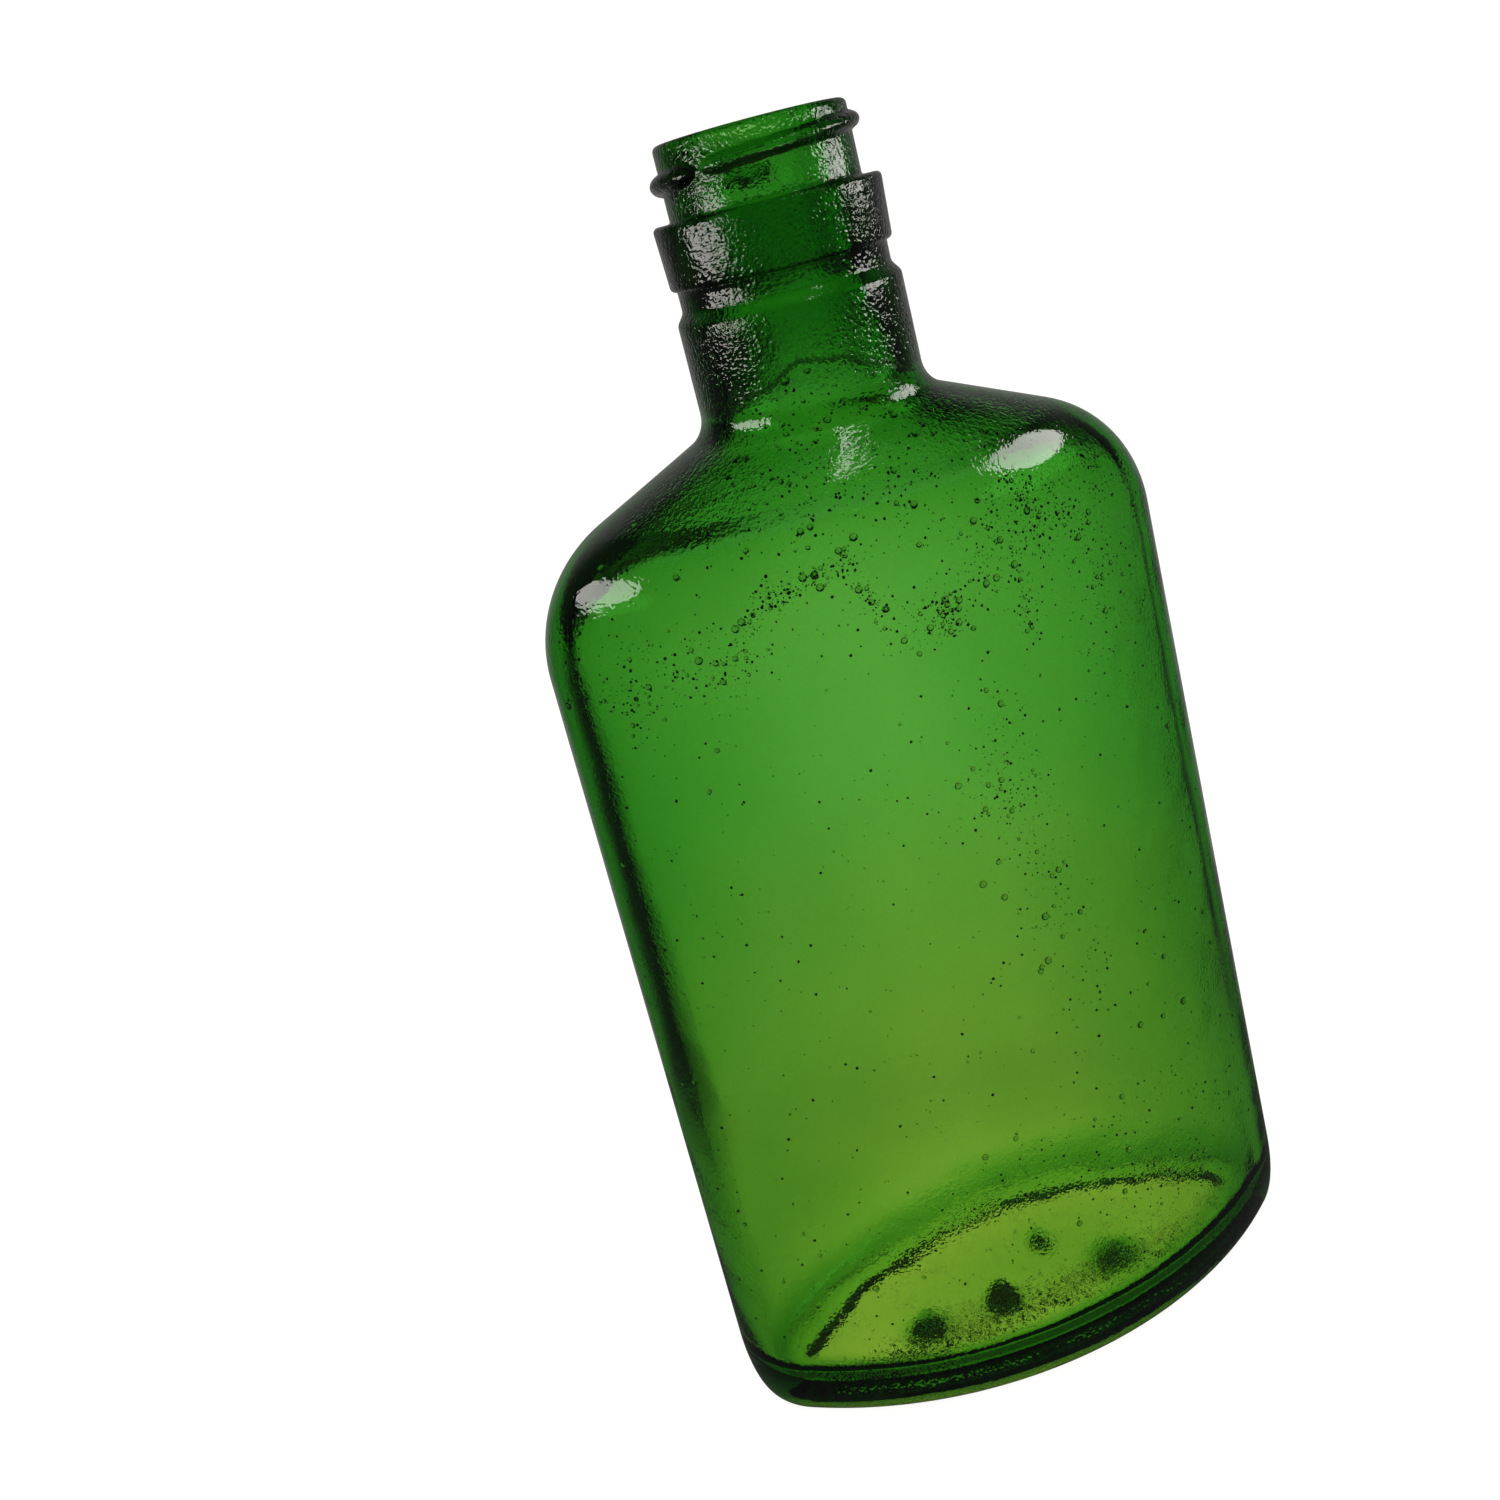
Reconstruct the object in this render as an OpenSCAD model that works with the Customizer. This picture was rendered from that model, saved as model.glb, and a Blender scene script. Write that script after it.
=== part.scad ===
// Oval screw-top flask in thick green glass, open at the mouth.
// +X runs across the body, -Y is the front panel and +Z is up.
// The origin is on the standing surface, below the middle of the neck.

/* [Overall] */
// Height from the standing ring to the top of the lip
bottle_h = 171; // [168:1:182]
// Width of the body across its two rounded edges
body_w = 86; // [82:1:94]
// Depth of the body from the front panel to the back panel
body_d = 44; // [40:1:48]
// Radius of the rounded edges of the body, seen from above
edge_r = 11.5; // [9:0.5:13]
// Thickness of the glass in the body and the shoulder
wall = 3; // [2.6:0.1:4]

/* [Shoulder] */
// Height at which the straight sides end and the shoulder begins
shoulder_z = 110; // [104:0.5:112]
// Radius of the shoulder's outer curve, seen from the front
shoulder_r = 18.5; // [16:0.5:21]
// Slope of the shoulder below the horizontal, in degrees
shoulder_slope = 23.5; // [16:1:26]
// Radius of the hollow curve between the neck and the shoulder
neck_root_r = 4.2; // [2.5:0.1:5]

/* [Neck and collar] */
// Outer radius of the neck
neck_r = 14.7; // [14.2:0.1:15.2]
// Thickness of the glass where the neck opens into the shoulder
neck_wall = 3.6; // [3:0.1:6]
// Outer radius at the bottom of the groove under the collar
groove_r = 13.7; // [13.2:0.1:14]
// Height of the groove under the collar
groove_h = 4.5; // [4:0.5:6]
// Height of the collar
collar_h = 8.4; // [7:0.1:9]
// Outer radius of the collar at its lower edge
collar_low_r = 14.5; // [14.3:0.1:15]
// Outer radius of the collar at its upper edge
collar_top_r = 14.8; // [14.5:0.1:15.3]
// Radius of the collar's rounded corners
collar_corner_r = 0.7; // [0.3:0.1:0.8]

/* [Finish] */
// Height of the threaded finish, from the collar to the top of the lip
finish_h = 9.6; // [9:0.1:11]
// Outer radius of the finish between the threads
finish_r = 12.45; // [12:0.05:12.8]
// Radius of the straight bore through the lip, finish and collar
bore_r = 8.5; // [8:0.1:10]
// Height of the lip above the threaded wall
lip_h = 1.6; // [1.4:0.1:2]
// Rise of the thread in one full turn
thread_pitch = 4.23; // [3.8:0.01:4.4]
// How far the thread stands out of the wall
thread_h = 1.2; // [0.8:0.1:1.5]
// Height of the thread's section where it meets the wall
thread_w = 2.3; // [1.8:0.1:2.6]

/* [Heel and base] */
// Height of the heel band
heel_h = 12; // [11:0.5:14]
// How far the heel curves in at the standing ring
heel_inset = 2.2; // [1.5:0.1:3]
// Height over which the heel curves in
heel_curve_h = 9; // [7:0.5:10]
// Width of the flat standing ring
ring_w = 5.5; // [4:0.5:6]
// Rise of the hollow under the base
push_up = 1.6; // [1:0.1:2.2]
// Height of the inside floor where it meets the heel
floor_z = 3.2; // [3:0.1:5]
// Crown of the inside floor at its middle
floor_crown = 0.6; // [0:0.1:1]
// Radius of the inside corner between the wall and the floor
floor_corner_r = 5.5; // [5:0.5:6.5]

/* [Hidden] */
$fn = 96;

// Points round each oval section, a multiple of 8
section_n = 96;
half_w = body_w / 2;
half_d = body_d / 2;
// Distance from the middle to the centre of each rounded edge
edge_x = half_w - edge_r;
// Radius of the bowed panels, tangent to both rounded edges
panel_r = (pow(edge_x, 2) + pow(half_d, 2) - pow(edge_r, 2)) / (2 * (half_d - edge_r));
// Distance from the middle to the centre of each panel's arc
panel_y = panel_r - half_d;

// Levels of the finish, counted down from the lip
finish_z = bottle_h - finish_h;
collar_z = finish_z - collar_h;
groove_z = collar_z - groove_h;
lip_z = bottle_h - lip_h;
lip_round = 0.7;

// Centre of the shoulder's outer curve and of the neck's root curve
shoulder_x = half_w - shoulder_r;
root_x = neck_r + neck_root_r;
neck_z = shoulder_z
    + (shoulder_r + neck_root_r - (root_x - shoulder_x) * sin(shoulder_slope)) / cos(shoulder_slope);

// Inside radius of the neck where it opens into the shoulder
neck_in_r = neck_r - neck_wall;
// Half of the angle that each panel takes round the section, in steps
panel_steps = section_n * 3 / 8;
// The thread stands this far off the wall, so that the two don't cross
skin = 0.01;

// Half depth of the oval at x, measured inset millimetres inside the outer surface
function oval_y(x, inset) =
    abs(x) <= edge_x * (panel_r - inset) / (panel_r - edge_r)
        ? sqrt(pow(panel_r - inset, 2) - x * x) - panel_y
        : sqrt(max(0, pow(edge_r - inset, 2) - pow(abs(x) - edge_x, 2)));

// Point number i of the oval section, as x and y
function oval_point(i, inset) =
    let (t = 360 * i / section_n, x = (half_w - inset) * cos(t))
    [x, sign(round(sin(t) * 1e6)) * oval_y(x, inset)];

function oval_ring(inset, z) =
    [for (i = [0 : section_n - 1]) [each oval_point(i, inset), z]];

// Section of the shoulder with the given half width: round at the neck, oval at the body
function shoulder_ring(hw, inset, round_r, z) =
    let (
        part = (hw - round_r) / (half_w - inset - round_r),
        hd = round_r + part * (half_d - inset - round_r)
    )
    [for (i = [0 : section_n - 1])
        let (
            t = 360 * i / section_n,
            oval = oval_point(i, inset)[1] / (half_d - inset)
        )
        [hw * cos(t), hd * ((1 - part) * sin(t) + part * oval), z]];

// Half width and height down the shoulder, from the neck to the straight sides
function shoulder_profile(inset, steps = 9) =
    let (
        s = shoulder_slope,
        root = [for (k = [0 : steps]) let (a = (90 - s) * k / steps)
            [root_x, neck_z] - (neck_root_r + inset) * [cos(a), sin(a)]],
        curve = [for (k = [0 : steps + 3]) let (a = (90 - s) * (1 - k / (steps + 3)))
            [shoulder_x, shoulder_z] + (shoulder_r - inset) * [cos(a), sin(a)]],
        slope_a = root[steps],
        slope_b = curve[0],
        slope = [for (k = [1 : 4]) slope_a + (slope_b - slope_a) * k / 5]
    )
    concat(root, slope, curve);

// Closed ring-shaped solid through a loop of section rings
module ring_solid(rings) {
    n = len(rings[0]);
    m = len(rings);
    polyhedron(
        points = [for (ring = rings) each ring],
        faces = [for (j = [0 : m - 1], i = [0 : n - 1])
            let (a = j * n, b = ((j + 1) % m) * n, k = (i + 1) % n)
            each [[a + i, a + k, b + i], [a + k, b + k, b + i]]],
        convexity = 6
    );
}

// Solid through a stack of section rings, closed by a point under it and a point over it
module stacked_solid(rings, low_point, high_point) {
    n = len(rings[0]);
    m = len(rings);
    polyhedron(
        points = concat([for (ring = rings) each ring], [low_point, high_point]),
        faces = concat(
            [for (j = [0 : m - 2], i = [0 : n - 1])
                let (a = j * n, b = (j + 1) * n, k = (i + 1) % n)
                each [[a + i, b + i, a + k], [a + k, b + i, b + k]]],
            [for (i = [0 : n - 1]) [i, (i + 1) % n, m * n]],
            [for (i = [0 : n - 1]) [(m - 1) * n + (i + 1) % n, (m - 1) * n + i, m * n + 1]]
        ),
        convexity = 6
    );
}

// Straight stretch of the body's wall, over the section's points from first to last
module wall_strip(first, last) {
    translate([0, 0, heel_h])
        linear_extrude(height = shoulder_z - heel_h)
            polygon(concat(
                [for (i = [first : last]) oval_point(i, 0)],
                [for (i = [last : -1 : first]) oval_point(i, wall)]
            ));
}

// Solid of revolution between an outer profile and an inner radius that widens downwards
module turned(profile, in_low, in_high) {
    z_low = profile[0][1];
    z_high = profile[len(profile) - 1][1];
    rotate_extrude()
        polygon(concat([[in_low, z_low]], profile, [[in_high, z_high]]));
}

// Inside radius of the neck at height z, widening from the bore to the shoulder
function neck_bore_r(z) = bore_r + (neck_in_r - bore_r) * (collar_z - z) / (collar_z - neck_z);

// Rounded corner of a turned profile: centre, radius and the angles it runs between
function corner(centre, r, from, to, steps = 6) =
    [for (k = [0 : steps]) let (a = from + (to - from) * k / steps) centre + r * [cos(a), sin(a)]];

module lip() {
    color("ForestGreen")
        rotate_extrude()
            polygon(concat(
                [[bore_r, lip_z], [finish_r, lip_z]],
                corner([finish_r - lip_round, bottle_h - lip_round], lip_round, 0, 90),
                corner([bore_r + lip_round, bottle_h - lip_round], lip_round, 90, 180)
            ));
}

// One stretch of thread, centred at height z0 at angle from, with ends that sink into the wall
module thread_run(from, to, z0, stand, width) {
    step = 4;
    fade = 16;
    count = ceil((to - from) / step);
    arc_n = 8;
    rings = [for (k = [0 : count])
        let (
            t = from + (to - from) * k / count,
            size = 0.15 + 0.85 * sin(90 * min(1, min(t - from, to - t) / fade)),
            z = z0 + thread_pitch * (t - from) / 360
        )
        [for (j = [0 : arc_n])
            let (a = -90 + 180 * j / arc_n, r = finish_r + skin + size * stand * cos(a))
            [r * cos(t), r * sin(t), z + size * width / 2 * sin(a)]]];
    n = arc_n + 1;
    polyhedron(
        points = [for (ring = rings) each ring],
        faces = concat(
            [for (k = [0 : count - 1], j = [0 : n - 1])
                let (a = k * n, b = (k + 1) * n, i = (j + 1) % n)
                each [[a + j, a + i, b + j], [a + i, b + i, b + j]]],
            [[for (j = [n - 1 : -1 : 0]) j]],
            [[for (j = [0 : n - 1]) count * n + j]]
        ),
        convexity = 6
    );
}

// The thread is cut in two where the halves of the neck mould meet
module cap_thread() {
    color("MediumSeaGreen") {
        thread_run(60, 214, bottle_h - 6.1, thread_h + 0.2, thread_w + 0.4);
        thread_run(218, 372, bottle_h - 4.2, thread_h, thread_w);
    }
}

module finish_wall() {
    color("SeaGreen")
        turned([[finish_r, finish_z], [finish_r, lip_z]], bore_r, bore_r);
}

module collar() {
    c = collar_corner_r;
    color("DarkGreen")
        turned(
            concat(
                [[collar_low_r - c, collar_z]],
                corner([collar_low_r - c, collar_z + c], c, -90, 0),
                corner([collar_top_r - c, finish_z - c], c, 0, 90),
                [[finish_r, finish_z]]
            ),
            bore_r, bore_r
        );
}

module neck_groove() {
    hollow_r = neck_r - groove_r;
    foot_h = groove_h * 0.45;
    color("OliveDrab")
        turned(
            concat(
                [for (k = [0 : 8]) let (a = 180 * k / 8)
                    [groove_r + hollow_r * (1 + cos(a)) / 2, groove_z + foot_h * k / 8]],
                [[groove_r, collar_z]]
            ),
            neck_bore_r(groove_z), neck_bore_r(collar_z)
        );
}

module neck() {
    color("SeaGreen")
        turned([[neck_r, neck_z], [neck_r, groove_z]], neck_in_r, neck_bore_r(groove_z));
}

module shoulder() {
    // The wall thickens from the body up to the neck
    taper = (half_w - wall - neck_in_r) / (half_w - neck_r);
    outside = [for (p = shoulder_profile(0)) shoulder_ring(p[0], 0, neck_r, p[1])];
    inside = [for (p = shoulder_profile(wall))
        shoulder_ring(neck_in_r + (p[0] - neck_r + wall) * taper, wall, neck_in_r, p[1])];
    last = len(inside) - 1;
    color("ForestGreen")
        ring_solid(concat(outside, [for (k = [last : -1 : 0]) inside[k]]));
}

module front_panel() {
    color("LimeGreen") wall_strip(section_n * 3 / 4 - panel_steps / 2, section_n * 3 / 4 + panel_steps / 2);
}

module back_panel() {
    color("Green") wall_strip(section_n / 4 - panel_steps / 2, section_n / 4 + panel_steps / 2);
}

module left_edge() {
    color("DarkOliveGreen")
        wall_strip(section_n / 4 + panel_steps / 2, section_n * 3 / 4 - panel_steps / 2);
}

module right_edge() {
    color("DarkOliveGreen") mirror([1, 0, 0])
        wall_strip(section_n / 4 + panel_steps / 2, section_n * 3 / 4 - panel_steps / 2);
}

// The base disc fills the heel up to this far inside the outer surface
base_inset = heel_inset + ring_w + 1.5;

// Height of the hollow under the base, inset millimetres inside the outer surface
function under_z(inset) =
    let (part = min(1, max(0, (inset - heel_inset - ring_w) / 7)))
    push_up * (1 - cos(180 * part)) / 2;

// Height of the inside floor, inset millimetres inside the outer surface
function floor_level(inset) =
    let (part = min(1, max(0, (inset - base_inset) / (half_d - base_inset))))
    floor_z + floor_crown * (1 - cos(180 * part)) / 2;

module heel() {
    steps = 9;
    outside = concat(
        [oval_ring(0, heel_h)],
        [for (k = [0 : steps]) let (a = 90 * k / steps)
            oval_ring(heel_inset * (1 - cos(a)), heel_curve_h * (1 - sin(a)))],
        [oval_ring(heel_inset + ring_w, 0), oval_ring(base_inset, under_z(base_inset))]
    );
    inside = concat(
        [for (k = [0 : steps]) let (a = 90 * k / steps)
            oval_ring(base_inset + (wall - base_inset) * sin(a),
                      floor_z + floor_corner_r * (1 - cos(a)))],
        [oval_ring(wall, heel_h)]
    );
    color("DarkGreen") ring_solid(concat(outside, inside));
}

module base() {
    steps = 6;
    depth = edge_r - base_inset;
    insets = [for (k = [0 : steps]) base_inset + depth * k / steps];
    under = [for (k = [steps : -1 : 0]) oval_ring(insets[k], under_z(insets[k]))];
    over = [for (k = [0 : steps]) oval_ring(insets[k], floor_level(insets[k]))];
    color("YellowGreen")
        stacked_solid(concat(under, over), [0, 0, push_up], [0, 0, floor_z + floor_crown]);
}

lip();
cap_thread();
finish_wall();
collar();
neck_groove();
neck();
shoulder();
front_panel();
back_panel();
left_edge();
right_edge();
heel();
base();
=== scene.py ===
"""Antique oval flask: one thick piece of green glass, with what years have left inside it."""

import logging
import math
from dataclasses import dataclass, field
from enum import Enum
from typing import Sequence

import bpy
from mathutils import Matrix, Vector, noise


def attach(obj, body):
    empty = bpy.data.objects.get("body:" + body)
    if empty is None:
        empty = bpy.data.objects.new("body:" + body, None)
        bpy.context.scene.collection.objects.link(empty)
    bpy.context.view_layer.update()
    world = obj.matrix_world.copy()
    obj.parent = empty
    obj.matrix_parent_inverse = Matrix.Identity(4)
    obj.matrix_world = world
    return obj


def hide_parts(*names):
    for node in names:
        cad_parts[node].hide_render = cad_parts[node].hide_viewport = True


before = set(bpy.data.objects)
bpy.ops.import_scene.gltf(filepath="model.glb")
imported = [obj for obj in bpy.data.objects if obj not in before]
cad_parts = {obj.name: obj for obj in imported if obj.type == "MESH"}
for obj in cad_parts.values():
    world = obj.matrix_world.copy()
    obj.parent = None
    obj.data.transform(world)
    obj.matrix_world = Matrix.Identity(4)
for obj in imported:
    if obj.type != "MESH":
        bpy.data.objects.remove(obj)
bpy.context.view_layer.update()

logging.basicConfig(level=logging.INFO, format="%(levelname)s %(message)s")
log = logging.getLogger("flask")

MM = 0.001
Point = tuple[float, float, float]
Ring = list[Point]


# ---------------------------------------------------------------------------------------------
# Sizes, in millimetres
# ---------------------------------------------------------------------------------------------


@dataclass(frozen=True)
class Oval:
    """A section of the body: two bowed panels joined by two rounded edges."""

    half_w: float
    half_d: float
    edge_r: float

    def y(self, x: float) -> float:
        """Half depth of the section.

        Args:
            x: Distance from the middle, in millimetres.

        Returns:
            The half depth at x, in millimetres.
        """
        edge_x = self.half_w - self.edge_r
        panel_r = (edge_x**2 + self.half_d**2 - self.edge_r**2) / (2 * (self.half_d - self.edge_r))
        x = abs(x)
        if x <= edge_x * panel_r / (panel_r - self.edge_r):
            return math.sqrt(panel_r**2 - x * x) - (panel_r - self.half_d)
        return math.sqrt(max(0.0, self.edge_r**2 - (x - edge_x) ** 2))

    def inset(self, by: float) -> "Oval":
        """The section that lies inside this one.

        Args:
            by: How far inside, in millimetres.

        Returns:
            The smaller section.
        """
        return Oval(self.half_w - by, self.half_d - by, self.edge_r - by)

    def ring(self, z: float, count: int, size: float = 1.0) -> Ring:
        """Points round the section.

        Args:
            z: Height of the ring.
            count: Number of points.
            size: Scale about the middle.

        Returns:
            The points, anticlockwise from +X.
        """
        points = []
        for i in range(count):
            turn = 2 * math.pi * i / count
            x = self.half_w * math.cos(turn)
            y = math.copysign(self.y(x), math.sin(turn)) if i % (count // 2) else 0.0
            points.append((x * size, y * size, z))
        return points


@dataclass(frozen=True)
class FlaskSizes:
    """Sizes of the whole flask, the same as the CAD part's."""

    height: float = 171.0
    body: Oval = Oval(43.0, 22.0, 11.5)
    shoulder_z: float = 110.0
    shoulder_r: float = 18.5
    slope: float = 23.5
    root_r: float = 4.2
    neck_r: float = 14.7
    groove_r: float = 13.7
    groove_h: float = 4.5
    collar_h: float = 8.4
    collar_low_r: float = 14.5
    collar_top_r: float = 14.8
    collar_round: float = 0.7
    finish_h: float = 9.6
    finish_r: float = 12.45
    lip_h: float = 1.6
    lip_round: float = 0.75
    bore_r: float = 8.5
    heel_inset: float = 2.2
    heel_curve_h: float = 9.0
    ring_w: float = 5.5
    push_up: float = 1.6

    @property
    def finish_z(self) -> float:
        """Height of the collar's upper ledge."""
        return self.height - self.finish_h

    @property
    def collar_z(self) -> float:
        """Height of the collar's lower edge."""
        return self.finish_z - self.collar_h

    @property
    def groove_z(self) -> float:
        """Height of the foot of the groove."""
        return self.collar_z - self.groove_h

    @property
    def root_x(self) -> float:
        """Distance from the axis to the centre of the neck's root curve."""
        return self.neck_r + self.root_r

    @property
    def shoulder_x(self) -> float:
        """Distance from the axis to the centre of the shoulder's curve."""
        return self.body.half_w - self.shoulder_r

    @property
    def neck_z(self) -> float:
        """Height at which the neck ends and its root curve begins."""
        s = math.radians(self.slope)
        rise = self.shoulder_r + self.root_r - (self.root_x - self.shoulder_x) * math.sin(s)
        return self.shoulder_z + rise / math.cos(s)


# Place, radius and height of the lumps of glass that cooled on the floor
FLOOR_LUMPS = ((-17.5, -6.0, 1.9, 2.6), (-6.0, -7.0, 1.3, 3.2), (11.5, -8.0, 2.3, 2.4), (4.5, 1.0, 1.2, 1.4))


@dataclass(frozen=True)
class WallSizes:
    """Thickness of the blown wall, which varies round the flask."""

    panel: float = 2.5
    edge: float = 3.2
    neck_root: float = 3.6
    floor_z: float = 3.2
    floor_crown: float = 0.6
    corner_r: float = 5.5


# ---------------------------------------------------------------------------------------------
# Node building
# ---------------------------------------------------------------------------------------------


class Graph:
    """A node tree that is written as sums."""

    def __init__(self, tree: bpy.types.NodeTree) -> None:
        """Keeps the tree.

        Args:
            tree: The geometry or shader tree to build in.
        """
        self.tree = tree

    def node(
        self, kind: str, inputs: dict[str | int, object] | None = None, **settings: object
    ) -> bpy.types.Node:
        """Adds a node.

        Args:
            kind: The node's type name.
            inputs: What its inputs take, by name or number.
            settings: Properties to set on it.

        Returns:
            The new node.
        """
        made = self.tree.nodes.new(kind)
        for name, value in settings.items():
            setattr(made, name, value)
        for key, value in (inputs or {}).items():
            self.feed(made.inputs[key], value)
        return made

    def feed(self, socket: bpy.types.NodeSocket, value: object) -> None:
        """Links a socket, or sets its value.

        Args:
            socket: The input.
            value: Another node's output, or a plain value.
        """
        if isinstance(value, bpy.types.NodeSocket):
            self.tree.links.new(value, socket)
        else:
            socket.default_value = value

    def math(self, operation: str, *values: object, clamp: bool = False) -> bpy.types.NodeSocket:
        """Adds a Math node.

        Args:
            operation: What it does.
            values: Its inputs, in order.
            clamp: Whether the result is kept between 0 and 1.

        Returns:
            The node's output.
        """
        inputs = dict(enumerate(values))
        return self.node("ShaderNodeMath", inputs, operation=operation, use_clamp=clamp).outputs[0]

    def smooth(
        self, value: object, low: float, high: float, to_low: float = 0.0, to_high: float = 1.0
    ) -> bpy.types.NodeSocket:
        """A smooth step between two values.

        Args:
            value: The driving value.
            low: Where the step begins.
            high: Where the step ends.
            to_low: Result below the step.
            to_high: Result above the step.

        Returns:
            The stepped value.
        """
        inputs = dict(enumerate((value, low, high, to_low, to_high)))
        return self.node("ShaderNodeMapRange", inputs, interpolation_type="SMOOTHSTEP").outputs[0]

    def blend(self, share: object, first: object, second: object) -> bpy.types.NodeSocket:
        """Mixes two colours.

        Args:
            share: How much of the second colour there is.
            first: The first colour.
            second: The second colour.

        Returns:
            The mixed colour.
        """
        return self.node("ShaderNodeMix", {0: share, 6: first, 7: second}, data_type="RGBA").outputs[2]

    def split(self, vector: bpy.types.NodeSocket) -> bpy.types.bpy_prop_collection:
        """Takes a vector apart.

        Args:
            vector: The vector.

        Returns:
            Its x, y and z.
        """
        return self.node("ShaderNodeSeparateXYZ", {0: vector}).outputs

    def attribute(self, name: str) -> bpy.types.NodeSocket:
        """Reads a number that each point of a mesh carries.

        Args:
            name: The attribute's name.

        Returns:
            Its value.
        """
        made = self.node("GeometryNodeInputNamedAttribute", {"Name": name}, data_type="FLOAT")
        return made.outputs[0]

    def move(
        self, shape: bpy.types.NodeSocket, way: bpy.types.NodeSocket, far: bpy.types.NodeSocket
    ) -> bpy.types.NodeSocket:
        """Moves the points of a shape.

        Args:
            shape: The geometry.
            way: Direction to move in.
            far: Distance to move.

        Returns:
            The moved geometry.
        """
        push = self.node("ShaderNodeVectorMath", {0: way, "Scale": far}, operation="SCALE").outputs[0]
        return self.node("GeometryNodeSetPosition", {"Geometry": shape, "Offset": push}).outputs[0]

    def dress(self, shape: bpy.types.NodeSocket, finish: bpy.types.Material, smooth: bool) -> None:
        """Ends a geometry tree: realizes the shape, gives it its finish and puts it out.

        Args:
            shape: The geometry.
            finish: Its material.
            smooth: Whether its faces are to be set smooth.
        """
        shape = self.node("GeometryNodeRealizeInstances", {0: shape}).outputs[0]
        if smooth:
            shape = self.node("GeometryNodeSetShadeSmooth", {0: shape}).outputs[0]
        shape = self.node("GeometryNodeSetMaterial", {0: shape, "Material": finish}).outputs[0]
        self.node("NodeGroupOutput", {0: shape})


def named_input(tree: bpy.types.NodeTree, name: str, kind: str, value: object = None) -> str:
    """Adds a named input to a group.

    Args:
        tree: The group.
        name: The input's name.
        kind: The socket's type.
        value: Its default value, if it has one.

    Returns:
        The identifier by which a modifier sets it.
    """
    socket = tree.interface.new_socket(name=name, in_out="INPUT", socket_type=kind)
    if value is not None:
        socket.default_value = value
    return socket.identifier


def geometry_tree(name: str) -> bpy.types.NodeTree:
    """Makes a geometry node group with a geometry input and output, and nothing between them.

    Args:
        name: The group's name.

    Returns:
        The group.
    """
    tree = bpy.data.node_groups.new(name, "GeometryNodeTree")
    tree.interface.new_socket(name="Geometry", in_out="INPUT", socket_type="NodeSocketGeometry")
    tree.interface.new_socket(name="Geometry", in_out="OUTPUT", socket_type="NodeSocketGeometry")
    return tree


def make_object(name: str, points: Sequence[Point], faces: Sequence[Sequence[int]]) -> bpy.types.Object:
    """Makes a mesh object at the origin from points in millimetres.

    Args:
        name: Name of the piece.
        points: Vertex positions, in millimetres.
        faces: Vertex numbers of each face.

    Returns:
        The linked object.
    """
    mesh = bpy.data.meshes.new(name)
    mesh.from_pydata([(x * MM, y * MM, z * MM) for x, y, z in points], [], faces)
    mesh.polygons.foreach_set("use_smooth", [True] * len(mesh.polygons))
    mesh.update()
    made = bpy.data.objects.new(name, mesh)
    bpy.context.scene.collection.objects.link(made)
    return made


def settle(obj: bpy.types.Object) -> None:
    """Turns what an object's modifiers make into its plain mesh, and removes them.

    Args:
        obj: The object.
    """
    graph = bpy.context.evaluated_depsgraph_get()
    graph.update()
    made = bpy.data.meshes.new_from_object(obj.evaluated_get(graph), depsgraph=graph)
    made.name = obj.name
    obj.modifiers.clear()
    obj.data = made


def run_tree(obj: bpy.types.Object, tree: bpy.types.NodeTree, values: dict[str, object]) -> None:
    """Runs a geometry tree on an object and keeps the result as its mesh.

    Args:
        obj: The object that carries the tree.
        tree: The geometry node group.
        values: Socket identifier to value.
    """
    modifier = obj.modifiers.new("shape", "NODES")
    modifier.node_group = tree
    for identifier, value in values.items():
        modifier[identifier] = value
    settle(obj)


# ---------------------------------------------------------------------------------------------
# Finishes
# ---------------------------------------------------------------------------------------------


def pitted_group() -> bpy.types.NodeTree:
    """Builds the shader group for the chill marks and pits of old moulded glass.

    Returns:
        A group with Pits, Ripple and Grain inputs and a Height output.
    """
    tree = bpy.data.node_groups.new("mould_skin", "ShaderNodeTree")
    for name, value in (("Pits", 1.0), ("Ripple", 1.0), ("Grain", 1900.0)):
        named_input(tree, name, "NodeSocketFloat", value)
    tree.interface.new_socket(name="Height", in_out="OUTPUT", socket_type="NodeSocketFloat")
    g = Graph(tree)
    inputs = g.node("NodeGroupInput").outputs
    place = g.node("ShaderNodeTexCoord").outputs["Object"]
    grains = {"Vector": place, "Scale": inputs["Grain"], "Detail": 1.0, "Roughness": 0.6}
    grain = g.node("ShaderNodeTexNoise", grains).outputs[0]
    cells = {"Vector": place, "Scale": g.math("MULTIPLY", inputs["Grain"], 0.8), "Smoothness": 0.4}
    dents = g.node("ShaderNodeTexVoronoi", cells, feature="SMOOTH_F1").outputs["Distance"]
    peel = g.math("MULTIPLY_ADD", g.smooth(grain, 0.3, 0.62), 0.8, g.smooth(dents, 0.05, 0.42))
    wave = g.node("ShaderNodeTexNoise", {"Vector": place, "Scale": 120.0, "Detail": 1.0}).outputs[0]
    patch = g.node("ShaderNodeTexNoise", {"Vector": place, "Scale": 90.0}).outputs[0]
    patchy = g.smooth(patch, 0.35, 0.65, 0.35, 1.0)
    rough = g.math("MULTIPLY", g.math("MULTIPLY", peel, patchy), inputs["Pits"])
    rippled = g.math("MULTIPLY", wave, inputs["Ripple"])
    g.node("NodeGroupOutput", {"Height": g.math("ADD", rough, rippled)})
    return tree


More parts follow.
